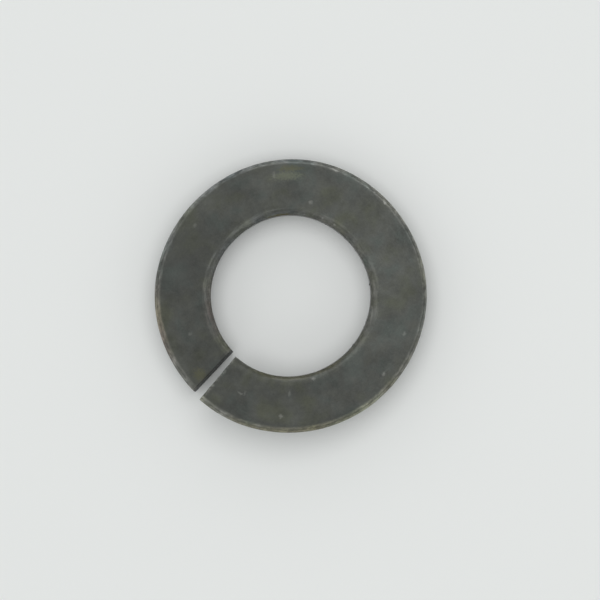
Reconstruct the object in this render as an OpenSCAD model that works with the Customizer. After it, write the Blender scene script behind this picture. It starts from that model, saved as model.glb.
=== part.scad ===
// Spring lock washer: one turn of squarish steel wire, cut through and set as a low left-hand coil
// Units are millimetres. The washer's axis is Z, its low end stands on Z = 0, and its slot faces -Y

/* [Ring] */
// bore, for a bolt of 8 mm
bore_d = 8.5; // [6:0.1:12]
// width of the wire, from the bore to the rim
wire_w = 2.95; // [2:0.05:4.5]
// thickness of the wire at the middle of its width
wire_t = 2; // [1.2:0.1:3]
// extra thickness on the bore side, where coiling squeezes the metal
bore_swell = 0.08; // [0:0.01:0.2]
// how far the high end stands above the low end
end_rise = 2.2; // [0.6:0.1:4]

/* [Slot] */
// gap between the two ends at the middle of the wire
slot_w = 0.49; // [0.2:0.01:1]
// lean of the end faces from upright, in degrees
cut_lean = 4; // [0:0.5:12]
// turn of the high end's face from the radius, in degrees
high_turn = 0.5; // [0:0.1:8]
// turn of the low end's face from the radius, in degrees
low_turn = 2.2; // [0:0.1:8]

/* [Corners] */
// radius of the wire's corners on the rim side
rim_round = 0.25; // [0.1:0.05:0.5]
// radius of the wire's corners on the bore side
bore_round = 0.4; // [0.1:0.05:0.6]

/* [Shown] */
// sub-part to draw

/* [Hidden] */
$fn = 96;
// chords along the coil and round each corner
coil_chords = 96;
corner_chords = 5;
// wire left outside the rim and inside the bore for the two cylinders to trim
trim = 0.06;
// a corner takes at most this share of the thickness
corner_share = 0.3;

bore_r = bore_d / 2;
rim_r = bore_r + wire_w;
mid_r = bore_r + wire_w / 2;
free_h = wire_t + end_rise;
rim_corner = min(rim_round, wire_t * corner_share);
bore_corner = min(bore_round, wire_t * corner_share);

// half the wire's thickness at a radius
function half_at(r) = wire_t / 2 + bore_swell * (mid_r - r) / wire_w / 2;

// corner of the section, from its flat to the trimmed side: side is 1 at the rim, -1 at the bore
function corner(wall, round, side) = let(
    x = wall - side * round,
    y = half_at(x) - round,
    step = 90 / corner_chords,
    arc = [for (i = [0:corner_chords - 1]) [x + side * round * sin(i * step), y + round * cos(i * step)]],
    p = arc[corner_chords - 2],
    q = arc[corner_chords - 1],
    run = (wall + side * trim - p[0]) / (q[0] - p[0])
) [for (i = [0:corner_chords - 1]) i < corner_chords - 1 ? arc[i] : p + run * (q - p)];

function reversed(list) = [for (i = [len(list) - 1:-1:0]) list[i]];
function flipped(list) = [for (p = list) [p[0], -p[1]]];

// the wire's section as [radius, height over its middle], from the bore over the top and back beneath
rim_arc = corner(rim_r, rim_corner, 1);
bore_arc = corner(bore_r, bore_corner, -1);
section = concat(reversed(bore_arc), rim_arc, reversed(flipped(rim_arc)), flipped(bore_arc));

// radians along the coil that bring a section point onto an end face, with the coil's fall in mm per radian
function cut(p, turn, fall) = let(
    lean = tan(cut_lean)
) (tan(turn) * (p[0] - mid_r) - lean * p[1]) / (p[0] - fall * lean);

// height of a section point on an end face, over the wire's middle at that end
function end_height(p, turn, fall) = p[1] - fall * cut(p, turn, fall);

// the coil starts at its high end, just past the slot, and falls as the angle grows
slot_deg = slot_w / mid_r * 180 / PI;
start_deg = 270 + slot_deg / 2;
turn_deg = 360 - slot_deg;
turn_rad = turn_deg * PI / 180;
// the fall is found in two steps, as the leaning ends reach a little past the wire's thickness
rough_fall = end_rise / turn_rad;
over = max([for (p = section) end_height(p, high_turn, rough_fall)]);
under = -min([for (p = section) end_height(p, low_turn, rough_fall)]);
high_z = free_h - over;
fall = (high_z - under) / turn_rad;

// one section point at one station of the coil
function placed(p, i) = let(
    shift = i == 0 ? cut(p, high_turn, fall) : i == coil_chords ? cut(p, low_turn, fall) : 0,
    along = turn_rad * i / coil_chords + shift,
    a = start_deg + along * 180 / PI
) [p[0] * cos(a), p[0] * sin(a), high_z - fall * along + p[1]];

module coil() {
    m = len(section);
    end = coil_chords * m;
    points = [for (i = [0:coil_chords]) for (p = section) placed(p, i)];
    sides = [for (i = [0:coil_chords - 1]) for (j = [0:m - 1]) let(
        a = i * m + j,
        b = i * m + (j + 1) % m
    ) each [[a, b, b + m], [a, b + m, a + m]]];
    high_end = [for (j = [1:m - 2]) [0, j + 1, j]];
    low_end = [for (j = [1:m - 2]) [end, end + j, end + j + 1]];
    polyhedron(points = points, faces = concat(sides, high_end, low_end), convexity = 6);
}

// the washer: the coiled wire, its rim and bore trimmed to true cylinders
module ring() {
    color([0.32, 0.33, 0.31])
    difference() {
        intersection() {
            coil();
            translate([0, 0, -1]) cylinder(r = rim_r, h = free_h + 2);
        }
        translate([0, 0, -2]) cylinder(r = bore_r, h = free_h + 4);
    }
}

ring();
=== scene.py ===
import math
import bpy
import numpy as np
from mathutils import Matrix, Vector, noise


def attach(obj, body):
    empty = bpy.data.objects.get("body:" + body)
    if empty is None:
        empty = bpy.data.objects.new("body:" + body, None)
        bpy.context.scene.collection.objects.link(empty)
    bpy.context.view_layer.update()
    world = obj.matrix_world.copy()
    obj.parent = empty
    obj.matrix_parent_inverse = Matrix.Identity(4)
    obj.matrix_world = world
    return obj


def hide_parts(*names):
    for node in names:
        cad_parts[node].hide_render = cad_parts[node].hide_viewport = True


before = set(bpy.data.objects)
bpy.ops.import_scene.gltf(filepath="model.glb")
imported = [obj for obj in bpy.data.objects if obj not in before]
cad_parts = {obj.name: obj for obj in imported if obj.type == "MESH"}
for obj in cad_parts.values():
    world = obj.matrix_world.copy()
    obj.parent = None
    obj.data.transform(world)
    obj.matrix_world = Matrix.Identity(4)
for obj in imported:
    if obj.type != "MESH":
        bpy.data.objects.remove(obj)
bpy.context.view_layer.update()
mm = 0.001
scene = bpy.context.scene

# The ring, in millimetres and degrees. Angles run round the axis from +X. The coil starts
# at its high end, just past the slot, and falls as the angle grows.
ring = {
    "boreRadius": 4.25,
    "wireWidth": 2.95,
    "wireThick": 2.0,
    "boreSwell": 0.08,  # extra thickness beside the bore
    "endRise": 2.2,  # high end over low end
    "opening": 0.077,  # how much wider the high end sits than the low end
    "slotWidth": 0.49,
    "slotAngle": 269.9,  # middle of the slot
    "cutLean": 4.0,  # cut faces from upright
    "highTurn": 0.5,  # cut faces from the radius
    "lowTurn": 2.2,
    "cutReach": 0.8,  # length of coil over which the section turns onto a cut face
    # rounded edges: width across the wire, height
    "boreTopRound": (0.36, 0.15),
    "rimTopRound": (0.25, 0.14),
    "rimUnderRound": (0.25, 0.20),
    "boreUnderRound": (0.34, 0.20),
    "endRound": 0.012,  # softened edge round each cut face
    # points along the coil, and round the wire's section
    "stations": 960,
    "endSteps": 6,
    "cornerPoints": 10,
    "topPoints": 14,
    "wallPoints": 7,  # half of a wall
    "underPoints": 9,
    # loops that fill a cut face, as shares of the section
    "cutLoops": (0.86, 0.7, 0.54, 0.38, 0.22, 0.08),
}

# How far the real ring strays from that plain shape. A layer of noise is height, wavelength, seed.
uneven = {
    # edges off a true circle: waves round the ring, cosine, sine
    "boreWander": [(0, -0.008, 0), (2, -0.021, -0.006), (3, 0, 0.017), (4, -0.015, 0.008),
                   (5, 0.003, -0.009)],
    "rimWander": [(0, 0.002, 0), (2, -0.037, -0.009), (3, 0.011, 0.007), (4, -0.015, 0.009),
                  (5, 0.004, -0.006), (6, -0.002, -0.005)],
    "roundSizes": [(0.16, 3.1, 7), (0.096, 0.9, 17)],  # here the height is a share of the size
    "surface": [(0.006, 1.7, 27), (0.0022, 0.45, 28)],
    "dents": (0.007, 0.5, 29),  # on the rounded edges
    "dentStretch": (1, 2, 2),
    "cutFace": (0.012, 0.32, 37),
    # ragged lip that the shears left along the top of the high end
    "lip": (0.034, 0.42, 47),
    "lipLength": 0.022,
    "lipClimb": (0.2, 0.9),  # heights over the wire's middle where it starts and is full
    "lipReach": 0.12,  # how far back along the coil it pulls the surface
    # burrs in the bore: angle, length, height
    "burrs": [(50.9, 0.11, 0.085), (4.9, 0.14, 0.05)],
    "burrLevel": 0.62,  # over the wire's middle
    "burrSpread": 0.12,
    "burrDepth": 0.1,  # how much of the section beside the bore it lifts
}

halfWidth = ring["wireWidth"] / 2
midRadius = ring["boreRadius"] + halfWidth
rimRadius = ring["boreRadius"] + ring["wireWidth"]
slotTurn = ring["slotWidth"] / midRadius
startAngle = math.radians(ring["slotAngle"]) + slotTurn / 2
coilTurn = 2 * math.pi - slotTurn
coilLength = coilTurn * midRadius

# the section's rounded edges: side of the wire, top or underside, angle where the arc starts
wireCorners = {
    "boreTopRound": (-1, 1, 180),
    "rimTopRound": (1, 1, 90),
    "rimUnderRound": (1, -1, 0),
    "boreUnderRound": (-1, -1, -90),
}


# Half the wire's thickness at a radius
def halfThick(x):
    return ring["wireThick"] / 2 + ring["boreSwell"] * (midRadius - x) / ring["wireWidth"] / 2


# Radians along the coil that bring a section point onto a flat cut face
def ontoCut(x, y, turn, fall):
    lean = math.tan(math.radians(ring["cutLean"]))
    return (math.tan(math.radians(turn)) * (x - midRadius) - lean * y) / (x - fall * lean)


# Distance along the coil, at the middle of the wire, to an angle round the axis
def arcTo(angle):
    return (math.radians(angle) - startAngle) % (2 * math.pi) * midRadius


# Closed outline of the wire for each station: radius, height, outward normal, and how far each point
# is into a rounded edge. It starts half way up the bore wall and goes over the top to the rim.
def wireOutline(inset, rounds):
    walls = {-1: ring["boreRadius"] + inset, 1: rimRadius - inset}
    steps = np.linspace(0, 1, ring["cornerPoints"])
    corners = []
    for (side, up, fromDeg), (wide, tall) in zip(wireCorners.values(), rounds):
        middleX = walls[side] - side * (wide - inset)
        middleY = up * (halfThick(walls[side] - side * wide) - tall)
        reachX = (wide - inset)[:, None]
        reachY = (tall - inset)[:, None]
        a = np.radians(fromDeg - 90 * steps)
        x = middleX[:, None] + reachX * np.cos(a)
        y = middleY[:, None] + reachY * np.sin(a)
        n = np.stack([np.cos(a) / reachX, np.sin(a) / reachY], -1)
        n = n / np.linalg.norm(n, axis=-1, keepdims=True)
        corners.append((x, y, n, np.broadcast_to(np.sin(np.pi * steps), x.shape)))

    def straight(before, after, points):
        f = (np.arange(points) + 1) / (points + 1)
        x, y = (before[k][:, -1:] * (1 - f) + after[k][:, :1] * f for k in (0, 1))
        n = np.broadcast_to(before[2][:, -1:, :], (len(inset), points, 2))
        return x, y, n, np.zeros_like(x)

    boreTop, rimTop, rimUnder, boreUnder = corners
    half = ring["wallPoints"]
    boreWall = straight(boreUnder, boreTop, 2 * half + 1)
    stretches = [
        [part[:, half:] for part in boreWall],
        boreTop,
        straight(boreTop, rimTop, ring["topPoints"]),
        rimTop,
        straight(rimTop, rimUnder, 2 * half),
        rimUnder,
        straight(rimUnder, boreUnder, ring["underPoints"]),
        boreUnder,
        [part[:, :half] for part in boreWall],
    ]
    return [np.concatenate(parts, axis=1) for parts in zip(*stretches)]


# Height where the coil starts, and its fall for each radian. They are found in two steps,
# because the leaning ends reach a little past the wire's thickness.
def findFall():
    x, y = wireOutline(np.zeros(1), [np.array(ring[name])[:, None] for name in wireCorners])[:2]
    roughFall = ring["endRise"] / coilTurn
    over = (y - roughFall * ontoCut(x, y, ring["highTurn"], roughFall)).max()
    under = -(y - roughFall * ontoCut(x, y, ring["lowTurn"], roughFall)).min()
    startZ = ring["wireThick"] + ring["endRise"] - over
    return startZ, (startZ - under) / coilTurn


startZ, coilFall = findFall()


# Brings section points to their place. nearHigh and nearLow are 1 on that end's cut face, 0 away from it.
def placeOnCoil(x, y, along, nearHigh, nearLow):
    ontoHigh = ontoCut(x, y, ring["highTurn"], coilFall)
    ontoLow = ontoCut(x, y, ring["lowTurn"], coilFall)
    turned = along + (nearHigh * ontoHigh + nearLow * ontoLow)
    angle = startAngle + turned
    radius = x + ring["opening"] * (0.5 - turned / coilTurn)
    outer = (x - ring["boreRadius"]) / ring["wireWidth"]
    for key, share in (("boreWander", 1 - outer), ("rimWander", outer)):
        for waves, cosine, sine in uneven[key]:
            radius = radius + share * (cosine * np.cos(waves * angle) + sine * np.sin(waves * angle))
    return np.stack([radius * np.cos(angle), radius * np.sin(angle), startZ - coilFall * turned + y], -1)


seedStep = (17.3, 5.1, 9.7)  # from one seed's part of the noise to the next


# A layer of soft noise over an array of points
def softNoise(points, layer):
    height, wave, seed = layer
    shift = Vector([seed * step for step in seedStep])
    flat = points.reshape(-1, 3) / wave
    values = [noise.noise(Vector(p) + shift) for p in flat]
    return height * np.array(values).reshape(points.shape[:-1])


def smoothStep(value, low, high):
    t = np.clip((value - low) / (high - low), 0, 1)
    return t * t * (3 - 2 * t)


# Radians along the coil for each station, and how far its section shrinks to soften the ends
def coilStations():
    turns = np.radians(np.linspace(90, 0, ring["endSteps"]))
    ends = ring["endRound"] * (1 - np.sin(turns)) / midRadius
    shrink = ring["endRound"] * (1 - np.cos(turns))
    middle = np.linspace(ends[-1], coilTurn - ends[-1], ring["stations"])[1:-1]
    along = np.concatenate([ends, middle, coilTurn - ends[::-1]])
    return along, np.concatenate([shrink, 0 * middle, shrink[::-1]])


# Sizes of the rounded edges, which wander a little along the coil
def wanderingRounds(arc):
    lane = np.stack([arc, 0 * arc, 0 * arc], -1)
    rounds = []
    for k, name in enumerate(wireCorners):
        wobble = sum(softNoise(lane, (share, wave, seed + k)) for share, wave, seed in uneven["roundSizes"])
        rounds.append([size * (1 + wobble) for size in ring[name]])
    return rounds


# Length of the sheared lip
def lipAt(x, y, arc):
    lip = uneven["lipLength"] + softNoise(np.stack([0 * x, x, 0 * y], -1), uneven["lip"])
    return lip * smoothStep(y, *uneven["lipClimb"]) * (1 - smoothStep(arc, 0, uneven["lipReach"]))[:, None]


# Height of each point over the smooth surface
def surfaceLift(coilPlace, x, y, arc, corner):
    lift = sum(softNoise(coilPlace, layer) for layer in uneven["surface"])
    lift = lift + corner * softNoise(coilPlace * uneven["dentStretch"], uneven["dents"])
    for angle, length, height in uneven["burrs"]:
        lengthwise = np.exp(-(((arc - arcTo(angle)) / length) ** 2))[:, None]
        upright = np.exp(-(((y - uneven["burrLevel"]) / uneven["burrSpread"]) ** 2))
        lift = lift + height * lengthwise * upright * (x < ring["boreRadius"] + uneven["burrDepth"])
    return lift


def buildRing():
    along, inset = coilStations()
    arc = along * midRadius
    x, y, normal, corner = wireOutline(inset, wanderingRounds(arc))
    coilPlace = np.stack([np.broadcast_to(arc[:, None], x.shape), x - midRadius, y], -1)

    nearHigh = 1 - smoothStep(arc, 0, ring["cutReach"])
    nearLow = smoothStep(arc, coilLength - ring["cutReach"], coilLength)
    turned = along[:, None] - lipAt(x, y, arc) / midRadius
    spin = startAngle + turned
    outward = np.stack([normal[..., 0] * np.cos(spin), normal[..., 0] * np.sin(spin), normal[..., 1]], -1)
    place = placeOnCoil(x, y, turned, nearHigh[:, None], nearLow[:, None])
    place = place + surfaceLift(coilPlace, x, y, arc, corner)[..., None] * outward

    # faces of the long surface
    stations, points = x.shape
    index = np.arange(stations * points).reshape(stations, points)
    nextIndex = np.roll(index, -1, axis=1)
    faces = np.stack([index[:-1], nextIndex[:-1], nextIndex[1:], index[1:]], -1).reshape(-1, 4).tolist()
    longFaces = len(faces)

    # the cut faces, in shrinking loops round the middle of the wire
    vertices = [place.reshape(-1, 3)]
    coilPlaces = [coilPlace.reshape(-1, 3)]
    used = stations * points
    middles = []
    for station, high in ((0, 1), (stations - 1, 0)):
        loop = index[station]
        height, wave, seed = uneven["cutFace"]
        for share in ring["cutLoops"]:
            sx = midRadius + share * (x[station] - midRadius)
            sy = share * y[station]
            spots = placeOnCoil(sx, sy, np.full(points, along[station]), high, 1 - high)
            spots[:, 0] += softNoise(np.stack([0 * sx, sx, sy], -1), (height, wave, seed + high))
            new = np.arange(points) + used
            used += points
            near, far = (loop, new) if high else (new, loop)
            faces += np.stack([near, far, np.roll(far, -1), np.roll(near, -1)], -1).tolist()
            vertices.append(spots)
            coilPlaces.append(np.stack([np.full(points, arc[station]), sx - midRadius, sy], -1))
            loop = new
        middles.append((loop[::-1] if high else loop).tolist())
    faces += middles

    mesh = bpy.data.meshes.new("coiled_ring")
    mesh.from_pydata((np.concatenate(vertices) * mm).tolist(), [], faces)
    slots = [0] * longFaces + [1] * (len(faces) - longFaces)
    mesh.polygons.foreach_set("material_index", slots)
    mesh.polygons.foreach_set("use_smooth", [True] * len(faces))
    layer = mesh.attributes.new("coilPlace", "FLOAT_VECTOR", "POINT")
    layer.data.foreach_set("vector", np.concatenate(coilPlaces).astype(np.float32).ravel())
    mesh.validate()
    mesh.update()
    piece = bpy.data.objects.new("coiled_ring", mesh)
    scene.collection.objects.link(piece)
    return piece


ringPiece = buildRing()
print("ring built,", len(ringPiece.data.polygons), "faces")


def addNode(tree, kind, **values):
    node = tree.nodes.new(kind)
    for name, value in values.items():
        if hasattr(node, name):
            setattr(node, name, value)
        else:
            node.inputs[name].default_value = value
    return node


def feed(tree, socket, value):
    if isinstance(value, bpy.types.NodeSocket):
        tree.links.new(value, socket)
    else:
        socket.default_value = value


def calc(tree, operation, *values, clamp=False):
    node = addNode(tree, "ShaderNodeMath", operation=operation, use_clamp=clamp)
    for socket, value in zip(node.inputs, values):
        feed(tree, socket, value)
    return node.outputs[0]


def vectorCalc(tree, operation, first, second):
    node = addNode(tree, "ShaderNodeVectorMath", operation=operation)
    feed(tree, node.inputs[0], first)
    feed(tree, node.inputs["Scale" if operation == "SCALE" else 1], second)
    return node.outputs["Vector"]


# A value that climbs smoothly from 0 to 1 between two limits, or falls if they are the other way round
def climb(tree, value, low, high):
    node = addNode(tree, "ShaderNodeMapRange", interpolation_type="SMOOTHSTEP")
    feed(tree, node.inputs["Value"], value)
    node.inputs["From Min"].default_value = min(low, high)
    node.inputs["From Max"].default_value = max(low, high)
    node.inputs["To Min"].default_value = 0 if low < high else 1
    node.inputs["To Max"].default_value = 1 if low < high else 0
    return node.outputs["Result"]


# 1 on a stretch of a value, with soft limits on both sides
def between(tree, value, rise, fall):
    return calc(tree, "MULTIPLY", climb(tree, value, *rise), climb(tree, value, *fall))


def noiseOf(tree, place, scale, detail, stretch=(1, 1, 1), rough=0.55):
    node = addNode(tree, "ShaderNodeTexNoise", Scale=scale, Detail=detail, Roughness=rough)
    feed(tree, node.inputs["Vector"], vectorCalc(tree, "MULTIPLY", place, stretch))
    return node.outputs["Fac"]


# Patches of 1 cut out of a noise, with soft borders
def patchesOf(tree, place, look):
    return climb(tree, noiseOf(tree, place, **look["noise"]), *look["border"])


# A noise that adds and takes away up to half of a width
def waver(tree, place, look):
    shape = noiseOf(tree, place, **look["noise"])
    return calc(tree, "MULTIPLY_ADD", shape, look["width"], -look["width"] / 2)


def blend(tree, amount, first, second, blendType="MIX"):
    node = addNode(tree, "ShaderNodeMix", data_type="RGBA", blend_type=blendType)
    feed(tree, node.inputs["Factor"], amount)
    feed(tree, node.inputs["A"], first)
    feed(tree, node.inputs["B"], second)
    return node.outputs["Result"]


def rampOf(tree, value, stops, interpolation):
    node = addNode(tree, "ShaderNodeValToRGB")
    ramp = node.color_ramp
    ramp.interpolation = interpolation
    while len(ramp.elements) < len(stops):
        ramp.elements.new(0.5)
    for element, (spot, colour) in zip(ramp.elements, stops):
        element.position = spot
        element.color = (*colour, 1)
    feed(tree, node.inputs["Fac"], value)
    return node.outputs["Color"]


# A node group with named sockets: each is (name, kind, default)
def newGroup(name, inputs, outputs):
    tree = bpy.data.node_groups.new(name, "ShaderNodeTree")
    for socketName, kind, value in inputs:
        socket = tree.interface.new_socket(name=socketName, in_out="INPUT", socket_type="NodeSocket" + kind)
        if value is not None:
            socket.default_value = value
    for socketName, kind in outputs:
        tree.interface.new_socket(name=socketName, in_out="OUTPUT", socket_type="NodeSocket" + kind)
    return tree, addNode(tree, "NodeGroupInput").outputs, addNode(tree, "NodeGroupOutput").inputs


def useGroup(tree, group, **values):
    node = tree.nodes.new("ShaderNodeGroup")
    node.node_tree = group
    for name, value in values.items():
        feed(tree, node.inputs[name], value)
    return node.outputs


# Blotches on blackened steel: noises for its shade, how much each finer one counts, and its tints
mottleLook = {
    "broad": {"scale": 0.8, "detail": 3},
    "fine": {"scale": 3.4, "detail": 4, "rough": 0.65},
    "fineShare": 0.6,
    "dots": {"scale": 12.0, "detail": 3, "rough": 0.7},
    "dotsShare": 0.5,
    "tintPatches": {"scale": 0.66, "detail": 2.5, "rough": 0.6},
    "tints": [(0.30, (0.90, 1.03, 1.05)), (0.44, (0.99, 1.0, 1.0)), (0.56, (1.07, 0.98, 0.96)),
              (0.70, (1.04, 1.04, 0.82))],
}
noiseMiddle = 0.5  # what a noise comes to on average


# Soft blotches of shade and tint, as oil and heat leave on blackened steel
def makeMottle(look):
    sockets = [("Place", "Vector", None), ("Base", "Color", (0.05, 0.05, 0.05, 1)),
               ("Shade", "Float", 0.1), ("Tint", "Float", 0.5)]
    tree, given, out = newGroup("mottle", sockets, [("Color", "Color")])
    place = given["Place"]
    broad, fine, dots = (noiseOf(tree, place, **look[key]) for key in ("broad", "fine", "dots"))
    shades = calc(tree, "MULTIPLY_ADD", fine, look["fineShare"], broad)
    shades = calc(tree, "SUBTRACT", shades, noiseMiddle * (1 + look["fineShare"]))
    shades = calc(tree, "MULTIPLY_ADD", calc(tree, "SUBTRACT", dots, noiseMiddle), look["dotsShare"], shades)
    strength = calc(tree, "MULTIPLY_ADD", shades, given["Shade"], 1.0)
    tint = rampOf(tree, noiseOf(tree, place, **look["tintPatches"]), look["tints"], "B_SPLINE")
    tinted = blend(tree, given["Tint"], given["Base"], tint, "MULTIPLY")
    feed(tree, out["Color"], vectorCalc(tree, "SCALE", tinted, strength))
    return tree


grainLook = {
    "pits": {"scale": 9.0, "detail": 5, "rough": 0.62},
    "scratches": {"scale": 6.0, "detail": 3, "stretch": (0.35, 1, 1)},
}


# Fine grain: pits and drawn scratches as a height, with the roughness they bring
def makeGrain(look):
    sockets = [("Place", "Vector", None), ("Rough", "Float", 0.5), ("Spread", "Float", 0.1)]
    tree, given, out = newGroup("grain", sockets, [("Height", "Float"), ("Roughness", "Float")])
    pits, scratches = (noiseOf(tree, given["Place"], **look[key]) for key in ("pits", "scratches"))
    feed(tree, out["Height"], calc(tree, "ADD", pits, scratches))
    centred = calc(tree, "SUBTRACT", pits, noiseMiddle)
    feed(tree, out["Roughness"], calc(tree, "MULTIPLY_ADD", centred, given["Spread"], given["Rough"]))
    return tree


plain = (1, 1, 1)
straw = (1.08, 1.03, 0.85)
bluish = (0.95, 0.99, 1.08)
rosy = (1.12, 0.96, 0.98)

# Where the black finish has thinned, with painted highlight along the edges and painted shade beside the
# bore. Lengths are in millimetres, places round the ring are shares of the coil from its high end, and a pair
# of limits is where wear starts and where it is full.
wearAndHighlightLook = {
    "face": (0.62, 0.88),  # height from the wire's middle, up or down
    # ragged start of the wear on the walls
    "faceFade": {
        "width": 0.36,
        "noise": {"scale": 5.0, "detail": 4, "stretch": (0.6, 1, 1), "rough": 0.65},
    },
    # how the worn bands stray towards the rim and the bore
    "stray": {"width": 0.14, "noise": {"scale": 0.9, "detail": 3, "stretch": (1, 0, 0)}},
    "specks": {
        "border": (0.38, 0.66),
        "noise": {"scale": 8.0, "detail": 4, "stretch": (0.5, 1, 1), "rough": 0.7},
    },
    # painted highlight: the worn band on the rim's rounded edge is also lit up in its colour, and the line is
    # a painted highlight along that edge
    "rim": {
        "band": (0.35, 0.09),  # from the rim
        "narrowPart": ((0.24, 0.36), (0.84, 0.76)),  # where the band is narrower
        "narrowBy": 0.07,
        "specks": 0.60,
        "even": 0.52,  # wear between the specks
        "patches": {"border": (0.36, 0.62), "noise": {"scale": 1.7, "detail": 3, "stretch": (1, 0.6, 0)}},
        "patchy": 0.45,
        "leastPatch": 0.72,
        "highlightLineAt": 0.17,  # from the rim
        "highlightLineWidth": 0.045,
        "line": 0.30,
        "breaks": {"border": (0.50, 0.64), "noise": {"scale": 3.0, "detail": 4, "stretch": (0.5, 0, 0)}},
    },
    "bore": {
        "band": ((0.05, 0.16), (0.50, 0.34)),  # from the bore
        "rubbedPart": ((0.64, 0.72), (0.94, 0.84)),  # where the lines are stronger
        "rubbed": 0.12,
        "even": 0.12,  # their strength elsewhere
        "lines": {"border": (0.42, 0.62), "noise": {"scale": 7.0, "detail": 3, "stretch": (0.10, 1, 1)}},
        "leastLine": 0.30,
        "paintedShadePart": (0.31, 0.21),  # where the bore edge is painted darker, a painted shade against the lamp's highlight there
        "paintedShadeLoss": -0.75,  # of the lines there
        "paintedShadeBy": 0.07,  # how much narrower the worn edge is there
        # painted highlight: the worn bore edge is also brightened where its reflection would be dark
        "edge": (0.30, 0.04),  # from the bore
        "edgeSpecks": 0.37,
        "edgeEven": 0.41,
    },
    # flecks along the sheared edge of the high end
    "sheared": {
        "reach": (0.30, 0.13),  # along the coil from the cut
        "ragged": 0.30,
        "raggedNoise": {"scale": 5, "detail": 3},
        "flecks": {"border": (0.38, 0.60), "noise": {"scale": 7, "detail": 2}},
        "strength": 0.5,
    },
    "tints": [(0.03, plain), (0.06, straw), (0.21, straw), (0.28, plain), (0.56, plain), (0.62, bluish),
              (0.77, bluish), (0.85, plain), (0.92, rosy), (0.97, plain)],
    # the very edges are made brightest, a painted highlight over their wear: distances from the rim and from
    # the bore
    "rimLipHighlight": (0.16, 0.04),
    "boreLipHighlight": (0.14, 0.03),
    "boreLipShare": 0.4,
}


# Specks and patches of wear on the rounded edge of the rim, made bright enough to paint its highlight too,
# and a broken painted highlight line along it
def rimWearAndHighlight(tree, place, fromRim, part, specks, look):
    narrow = between(tree, part, *look["narrowPart"])
    band = climb(tree, calc(tree, "MULTIPLY_ADD", narrow, look["narrowBy"], fromRim), *look["band"])
    band = calc(tree, "MULTIPLY", band, calc(tree, "MULTIPLY_ADD", specks, look["specks"], look["even"]))
    patches = patchesOf(tree, place, look["patches"])
    patches = calc(tree, "MULTIPLY_ADD", patches, look["patchy"], look["leastPatch"])
    offLine = calc(tree, "ABSOLUTE", calc(tree, "SUBTRACT", fromRim, look["highlightLineAt"]))
    # a painted highlight line, broken into pieces
    broken = calc(tree, "MULTIPLY", patchesOf(tree, place, look["breaks"]), look["line"])
    line = calc(tree, "MULTIPLY", climb(tree, offLine, look["highlightLineWidth"], 0.0), broken)
    return calc(tree, "ADD", calc(tree, "MULTIPLY", band, patches), line)


# Fine lines beside the bore, and its own edge, worn and brightened as a painted highlight, and held back as
# painted shade on part of the ring
def boreWearAndPaintedLight(tree, place, fromBore, stray, part, specks, look):
    # painted shade: less wear and a narrower bright edge where the lamp would brighten the bore edge
    paintedShade = climb(tree, part, *look["paintedShadePart"])
    band = between(tree, calc(tree, "ADD", fromBore, stray), *look["band"])
    band = calc(tree, "MULTIPLY", band, calc(tree, "MULTIPLY_ADD", paintedShade, look["paintedShadeLoss"], 1.0))
    rubbed = between(tree, part, *look["rubbedPart"])
    rubbed = calc(tree, "MULTIPLY_ADD", rubbed, look["rubbed"], look["even"])
    lines = calc(tree, "ADD", patchesOf(tree, place, look["lines"]), look["leastLine"])
    band = calc(tree, "MULTIPLY", band, calc(tree, "MULTIPLY", rubbed, lines))
    fromLip = calc(tree, "MULTIPLY_ADD", paintedShade, look["paintedShadeBy"], fromBore)
    speckled = calc(tree, "MULTIPLY_ADD", specks, look["edgeSpecks"], look["edgeEven"])
    return calc(tree, "ADD", calc(tree, "MULTIPLY", climb(tree, fromLip, *look["edge"]), speckled), band)


# How worn each place is, with painted highlight on the edges and painted shade beside the bore, and the tint
# of the steel that shows there
def makeWearAndHighlight(look):
    tree, given, out = newGroup("wearAndHighlight", [("Place", "Vector", None)], [("Amount", "Float"), ("Tint", "Color")])
    place = given["Place"]
    split = addNode(tree, "ShaderNodeSeparateXYZ")
    feed(tree, split.inputs[0], place)
    arc, across, up = split.outputs
    part = calc(tree, "DIVIDE", arc, coilLength)
    stray = waver(tree, place, look["stray"])
    specks = patchesOf(tree, place, look["specks"])
    fromRim = calc(tree, "ADD", calc(tree, "SUBTRACT", halfWidth, across), stray)
    fromBore = calc(tree, "ADD", halfWidth, across)
    edges = calc(
        tree, "ADD",
        rimWearAndHighlight(tree, place, fromRim, part, specks, look["rim"]),
        boreWearAndPaintedLight(tree, place, fromBore, stray, part, specks, look["bore"]),
    )
    fade = waver(tree, place, look["faceFade"])
    nearFace = climb(tree, calc(tree, "ADD", calc(tree, "ABSOLUTE", up), fade), *look["face"])
    edges = calc(tree, "MULTIPLY", nearFace, edges)

    cut = look["sheared"]
    ragged = calc(tree, "MULTIPLY_ADD", noiseOf(tree, place, **cut["raggedNoise"]), cut["ragged"], arc)
    flecks = patchesOf(tree, place, cut["flecks"])
    sheared = calc(tree, "MULTIPLY", climb(tree, ragged, *cut["reach"]), flecks)
    feed(tree, out["Amount"], calc(tree, "MULTIPLY_ADD", sheared, cut["strength"], edges, clamp=True))

    # painted highlight: the steel's tint is lifted towards the very edges of the rim and the bore
    rimLipHighlight = climb(tree, across, *(halfWidth - limit for limit in look["rimLipHighlight"]))
    boreLipHighlight = climb(tree, across, *(limit - halfWidth for limit in look["boreLipHighlight"]))
    lipHighlights = calc(tree, "MULTIPLY_ADD", boreLipHighlight, look["boreLipShare"], rimLipHighlight)
    tint = rampOf(tree, part, look["tints"], "LINEAR")
    feed(tree, out["Tint"], vectorCalc(tree, "SCALE", tint, calc(tree, "ADD", lipHighlights, 1.0)))
    return tree


# Border and raggedness count in sizes of the mark. Its depth is in millimetres.
spotLook = {"noise": {"scale": 11, "detail": 3}, "ragged": 1.8, "border": (2.0, 1.1), "depth": 0.6}


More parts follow.
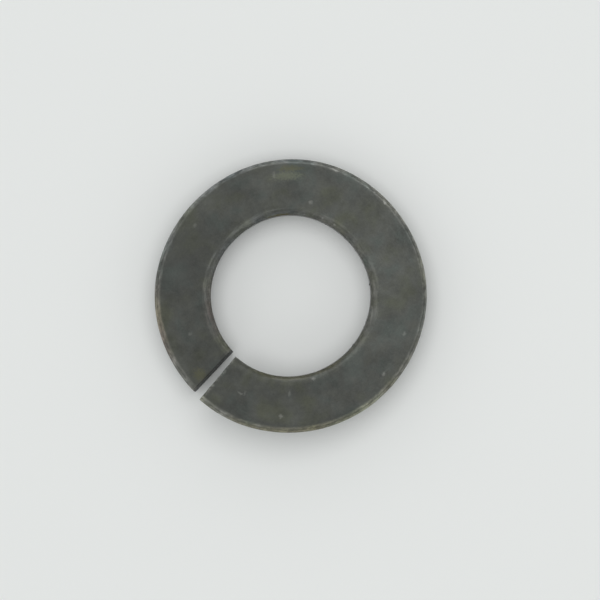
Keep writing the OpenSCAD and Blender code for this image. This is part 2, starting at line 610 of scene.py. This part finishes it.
# One mark on the top face, with a ragged edge; the same shape also paints a broad shade
def makeSpot(look):
    sockets = [("Place", "Vector", None), ("Centre", "Vector", (0, 0, 0)), ("Size", "Vector", (1, 1, 1))]
    tree, given, out = newGroup("spot", sockets, [("Mask", "Float")])
    gap = vectorCalc(tree, "SUBTRACT", given["Place"], given["Centre"])
    scaled = vectorCalc(tree, "DIVIDE", gap, given["Size"])
    length = addNode(tree, "ShaderNodeVectorMath", operation="LENGTH")
    feed(tree, length.inputs[0], scaled)
    shape = noiseOf(tree, given["Place"], **look["noise"])
    ragged = calc(tree, "MULTIPLY_ADD", shape, look["ragged"], length.outputs["Value"])
    feed(tree, out["Mask"], climb(tree, ragged, *look["border"]))
    return tree


mottle = makeMottle(mottleLook)
grain = makeGrain(grainLook)
wearAndHighlight = makeWearAndHighlight(wearAndHighlightLook)
spot = makeSpot(spotLook)

# The two finishes. Only the first has worn edges with painted highlight and shade, and marks with one painted
# shade.
steelLooks = {
    "blackened_steel": {
        "base": (0.0260, 0.0276, 0.0250),
        # colour of bare steel, also used as painted highlight on the edges
        "wornAndHighlight": (0.115, 0.117, 0.107),
        "shade": 0.95,
        "tint": 1.0,
        "rough": 0.38,
        "spread": 0.25,  # of the roughness
        "metallic": 0.75,
        "specular": 0.25,
        "grain": 0.35,
    },
    "cut_steel": {
        "base": (0.040, 0.042, 0.038),
        "shade": 0.8,
        "tint": 0.7,
        "rough": 0.62,
        "spread": 0.3,
        "metallic": 0.75,
        "specular": 0.25,
        "grain": 0.9,
    },
}
grainHeight = 0.004 * mm  # at a grain of 1

pale = (0.13, 0.13, 0.122)
# dark specks, and the colour of the painted shade
darkAndShade = (0.018, 0.019, 0.018)
olive = (0.037, 0.037, 0.020)
sage = (0.046, 0.050, 0.036)
rust = (0.085, 0.075, 0.035)

# marks on the top face and one painted shade: angle, radius, length round the ring, width across it, colour,
# strength
marksAndShade = [
    (140.6, 6.40, 0.10, 0.24, pale, 0.20),
    (134.5, 6.33, 0.95, 0.30, sage, 0.75),
    (133.0, 6.72, 0.70, 0.20, olive, 0.6),
    (120.4, 5.03, 0.16, 0.13, pale, 0.26),
    (186.4, 6.35, 0.14, 0.12, pale, 0.18),
    (243.9, 5.71, 0.12, 0.14, pale, 0.15),
    (285.9, 5.71, 0.19, 0.07, pale, 0.24),
    (287.9, 5.61, 0.08, 0.17, pale, 0.15),
    (308.4, 6.35, 0.14, 0.14, pale, 0.32),
    (312.4, 5.13, 0.10, 0.20, pale, 0.16),
    (24.4, 6.35, 0.14, 0.11, pale, 0.20),
    (2.9, 6.46, 0.17, 0.10, pale, 0.28),
    (1.2, 6.40, 0.12, 0.14, darkAndShade, 0.7),
    (264.3, 6.36, 0.45, 0.42, olive, 0.6),
    # painted shade: a broad dark patch on the part of the top face turned away from the light
    (203.0, 5.75, 3.20, 1.50, darkAndShade, 0.32),
    (139.5, 4.27, 1.1, 0.11, rust, 0.8),
    # chips along the rim and the bore
    (87.6, 7.06, 0.14, 0.13, pale, 0.8),
    (93.8, 7.10, 0.09, 0.11, pale, 0.7),
    (113.5, 7.03, 0.22, 0.11, pale, 0.5),
    (110.1, 4.39, 0.12, 0.13, pale, 0.55),
    (100.9, 4.42, 0.11, 0.09, pale, 0.4),
    (328.5, 4.55, 0.20, 0.12, pale, 0.28),
    (299.2, 7.01, 0.20, 0.12, pale, 0.45),
    (274.6, 7.05, 0.10, 0.10, pale, 0.4),
]


def addMarksAndShade(tree, place, colour):
    for angle, radius, length, width, tone, strength in marksAndShade:
        centre = (arcTo(angle), radius - midRadius, ring["wireThick"] / 2)
        size = (length, width, spotLook["depth"])
        mask = useGroup(tree, spot, Place=place, Centre=centre, Size=size)["Mask"]
        colour = blend(tree, calc(tree, "MULTIPLY", mask, strength), colour, (*tone, 1))
    return colour


def makeSteel(name, look):
    material = bpy.data.materials.new(name)
    material.use_nodes = True
    tree = material.node_tree
    shader = tree.nodes["Principled BSDF"]
    shader.inputs["Metallic"].default_value = look["metallic"]
    shader.inputs["Specular IOR Level"].default_value = look["specular"]
    place = addNode(tree, "ShaderNodeAttribute", attribute_name="coilPlace").outputs["Vector"]

    def mottled(base):
        given = {"Place": place, "Base": (*base, 1), "Shade": look["shade"], "Tint": look["tint"]}
        return useGroup(tree, mottle, **given)["Color"]

    colour = mottled(look["base"])
    if "wornAndHighlight" in look:
        wornAndHighlight = useGroup(tree, wearAndHighlight, Place=place)
        bareAndHighlight = blend(tree, 1.0, mottled(look["wornAndHighlight"]), wornAndHighlight["Tint"], "MULTIPLY")
        colour = addMarksAndShade(tree, place, blend(tree, wornAndHighlight["Amount"], colour, bareAndHighlight))
    feed(tree, shader.inputs["Base Color"], colour)
    texture = useGroup(tree, grain, Place=place, Rough=look["rough"], Spread=look["spread"])
    feed(tree, shader.inputs["Roughness"], texture["Roughness"])
    bump = addNode(tree, "ShaderNodeBump", Strength=look["grain"], Distance=grainHeight)
    feed(tree, bump.inputs["Height"], texture["Height"])
    feed(tree, shader.inputs["Normal"], bump.outputs["Normal"])
    return material


for name, look in steelLooks.items():
    ringPiece.data.materials.append(makeSteel(name, look))
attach(ringPiece, "root")
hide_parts("ring")
print("ring finished in steel")

# The camera looks nearly down the washer's axis. Lean and turn are in degrees, lengths in millimetres.
cameraPlan = {
    "turn": -42.9,
    "lean": 0.68,
    "leanTowards": 29.6,
    "aside": (-0.521, 0.228),  # the washer's axis from the middle of the view, to the right and up
    "lookAt": 3.0,  # height of the point in the middle of the view
    "distance": 250.0,
    "viewWidth": 31.74,  # at that height
    "sensor": 36.0,
    "clip": (1.0, 20000.0),
}


def makeCamera(plan):
    towards = math.radians(plan["leanTowards"])
    leanAxis = Vector((-math.sin(towards), math.cos(towards), 0))
    lean = Matrix.Rotation(math.radians(plan["lean"]), 3, leanAxis)
    turn = Matrix.Rotation(math.radians(plan["turn"]), 3, "Z")
    axes = (lean @ turn).transposed()
    right, up, back = (axes @ Vector(v) for v in ((1, 0, 0), (0, 1, 0), (0, 0, 1)))
    data = bpy.data.cameras.new("camera")
    data.sensor_width = plan["sensor"]
    data.lens = plan["sensor"] * plan["distance"] / plan["viewWidth"]
    data.clip_start, data.clip_end = (limit * mm for limit in plan["clip"])
    camera = bpy.data.objects.new("camera", data)
    scene.collection.objects.link(camera)
    aside = right * plan["aside"][0] + up * plan["aside"][1]
    spot = Vector((0, 0, plan["lookAt"])) - aside + back * plan["distance"]
    camera.matrix_world = Matrix.Translation(spot * mm) @ axes.to_4x4()
    scene.camera = camera
    return right, up


viewRight, viewUp = makeCamera(cameraPlan)

# The washer lies on its low end and the far side of its coil, so the table's plane leans to meet it.
table = {
    "slope": (0.0533, 0.0953),  # rise towards +X and +Y
    "size": 3000.0,
    "colour": (0.80, 0.815, 0.808),
    "rough": 0.85,
    "specular": 0.2,
}


def makeTable(plan):
    normal = Vector((-plan["slope"][0], -plan["slope"][1], 1)).normalized()
    lowest = min(normal.dot(v.co) for v in ringPiece.data.vertices)
    across = viewRight - normal * normal.dot(viewRight)
    across.normalize()
    along = normal.cross(across)
    axes = Matrix((across, along, normal)).transposed().to_4x4()
    toTable = Matrix.Translation(normal * lowest) @ axes
    half = plan["size"] / 2 * mm
    corners = [toTable @ Vector((x * half, y * half, 0)) for x, y in ((-1, -1), (1, -1), (1, 1), (-1, 1))]
    mesh = bpy.data.meshes.new("table")
    mesh.from_pydata(corners, [], [(0, 1, 2, 3)])
    top = bpy.data.objects.new("table", mesh)
    scene.collection.objects.link(top)
    mesh.materials.append(makePale(plan))


# The table's pale finish, which is clear from below
def makePale(plan):
    material = bpy.data.materials.new("pale_table")
    material.use_nodes = True
    tree = material.node_tree
    shader = tree.nodes["Principled BSDF"]
    shader.inputs["Base Color"].default_value = (*plan["colour"], 1)
    shader.inputs["Roughness"].default_value = plan["rough"]
    shader.inputs["Specular IOR Level"].default_value = plan["specular"]
    below = addNode(tree, "ShaderNodeNewGeometry")
    clear = addNode(tree, "ShaderNodeBsdfTransparent")
    either = addNode(tree, "ShaderNodeMixShader")
    feed(tree, either.inputs["Fac"], below.outputs["Backfacing"])
    feed(tree, either.inputs[1], shader.outputs["BSDF"])
    feed(tree, either.inputs[2], clear.outputs["BSDF"])
    feed(tree, tree.nodes["Material Output"].inputs["Surface"], either.outputs["Shader"])
    return material


makeTable(table)

# A soft box almost straight above, leaning from the washer's axis towards one side of the view, and a
# second one that shows only as a sheen on the steel. Angles are in degrees, from the view's right.
lights = {
    "soft_box": {"towards": 112, "lean": 5, "distance": 500, "size": 445, "power": 1.30, "onTable": True},
    "sheen": {"towards": 80, "lean": 22, "distance": 500, "size": 212, "power": 0.58, "onTable": False},
}
# Even light from all round, which shows brighter in the steel than it falls on the table
worldLight = {"colour": (0.985, 1.0, 0.99), "strength": 0.52, "inSteel": 0.95}


def makeLamp(name, plan):
    towards = math.radians(plan["towards"])
    lean = math.radians(plan["lean"])
    aside = viewRight * math.cos(towards) + viewUp * math.sin(towards)
    away = (aside * math.sin(lean) + Vector((0, 0, math.cos(lean)))).normalized()
    data = bpy.data.lights.new(name, "AREA")
    data.shape = "DISK"
    data.size = plan["size"] * mm
    data.energy = plan["power"]
    lamp = bpy.data.objects.new(name, data)
    scene.collection.objects.link(lamp)
    lamp.visible_diffuse = plan["onTable"]
    lamp.location = away * plan["distance"] * mm
    lamp.rotation_mode = "QUATERNION"
    lamp.rotation_quaternion = away.to_track_quat("Z", "Y")


def makeWorld(plan):
    world = bpy.data.worlds.new("studio")
    world.use_nodes = True
    tree = world.node_tree
    background = tree.nodes["Background"]
    background.inputs["Color"].default_value = (*plan["colour"], 1)
    glossy = addNode(tree, "ShaderNodeLightPath").outputs["Is Glossy Ray"]
    strength = addNode(tree, "ShaderNodeMapRange")
    feed(tree, strength.inputs["Value"], glossy)
    strength.inputs["To Min"].default_value = plan["strength"]
    strength.inputs["To Max"].default_value = plan["inSteel"]
    feed(tree, background.inputs["Strength"], strength.outputs["Result"])
    scene.world = world
    scene.view_settings.view_transform = "Standard"
    scene.view_settings.look = "None"


for name, plan in lights.items():
    makeLamp(name, plan)
makeWorld(worldLight)
print("camera, table and lights placed")
